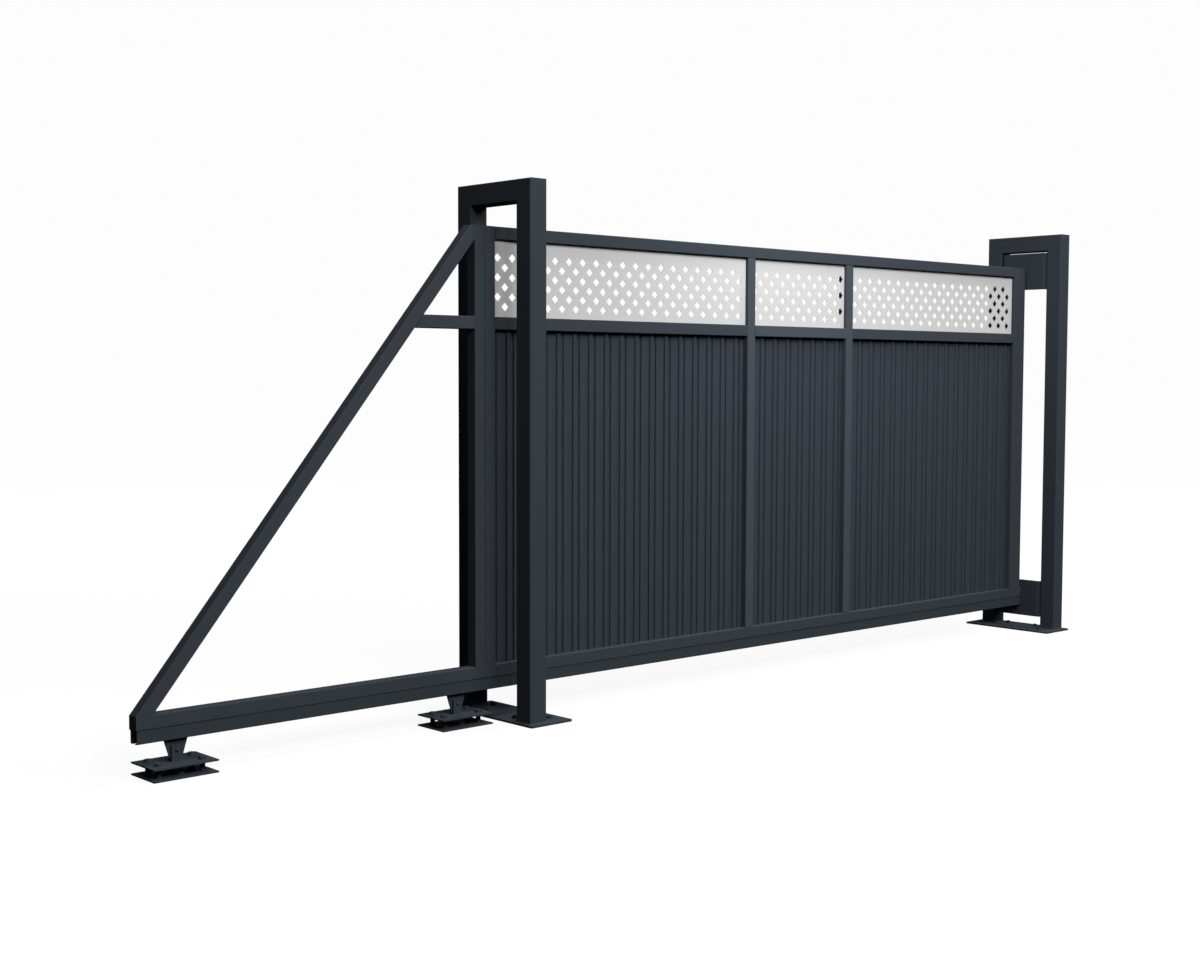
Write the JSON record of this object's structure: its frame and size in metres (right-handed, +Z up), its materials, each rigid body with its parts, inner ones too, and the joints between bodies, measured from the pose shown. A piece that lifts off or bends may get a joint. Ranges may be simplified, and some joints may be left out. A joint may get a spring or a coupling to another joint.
{
  "type": "cantilever sliding driveway gate",
  "caption": "Self-supporting sliding driveway gate: ribbed sheet leaf with a perforated top band on a cantilever rail, ground carriages, guide portal and receiving portal.",
  "frame": {"origin": "centre of the guide portal's base plate, on its underside", "axes": "+X along the gate from the guide portal to the receiving portal, +Y away from the road side that the picture shows, +Z up"},
  "size_m": [6.308, 0.61, 2.51],
  "materials": {
    "portal_paint": "powder coated, satin, dark anthracite",
    "plate_paint": "powder coated, satin, anthracite",
    "catcher_paint": "powder coated, satin, anthracite",
    "carriage_paint": "powder coated, satin, anthracite",
    "bolt_steel": "darkened fasteners",
    "roller_steel": "turned steel",
    "frame_paint": "powder coated, satin, anthracite",
    "rail_paint": "powder coated, satin, dark anthracite",
    "sheet_paint": "coated profiled sheet, satin, anthracite",
    "light_paint": "powder coated, satin, light grey"
  },
  "bodies": {
    "base": {"guide_base_plate": "plate_paint", "guide_front_post": "portal_paint", "guide_back_post": "portal_paint", "guide_head": "portal_paint", "receiving_base_plate": "plate_paint", "receiving_front_post": "portal_paint", "receiving_back_post": "portal_paint", "receiving_head": "portal_paint", "upper_catcher": "catcher_paint", "lower_catcher": "catcher_paint", "tail_carriage_ground_plate": "carriage_paint", "tail_carriage_levelling_studs": "bolt_steel", "tail_carriage_top_plate": "carriage_paint", "tail_carriage_cheeks": "carriage_paint", "tail_carriage_pivot_bolt": "bolt_steel", "tail_carriage_rocker": "carriage_paint", "tail_carriage_rollers": "roller_steel", "gate_carriage_ground_plate": "carriage_paint", "gate_carriage_levelling_studs": "bolt_steel", "gate_carriage_top_plate": "carriage_paint", "gate_carriage_cheeks": "carriage_paint", "gate_carriage_pivot_bolt": "bolt_steel", "gate_carriage_rocker": "carriage_paint", "gate_carriage_rollers": "roller_steel"},
    "leaf": {"cantilever_rail": "rail_paint", "bottom_tube": "frame_paint", "left_outer_upright": "frame_paint", "left_inner_upright": "frame_paint", "right_inner_upright": "frame_paint", "right_outer_upright": "frame_paint", "top_rail": "frame_paint", "diagonal_brace": "frame_paint", "tail_bar": "frame_paint", "left_mullion": "frame_paint", "right_mullion": "frame_paint", "mid_rail_left_bay": "frame_paint", "mid_rail_middle_bay": "frame_paint", "mid_rail_right_bay": "frame_paint", "ribbed_sheet_left_bay": "sheet_paint", "ribbed_sheet_middle_bay": "sheet_paint", "ribbed_sheet_right_bay": "sheet_paint", "perforated_sheet_left_bay": "light_paint", "perforated_sheet_middle_bay": "light_paint", "perforated_sheet_right_bay": "light_paint"}
  },
  "joints": [
    {"name": "gate_slide", "type": "slide", "parent": "base", "child": "leaf", "axis": [-1, 0, 0], "range_m": [0, 4.24]}
  ]
}
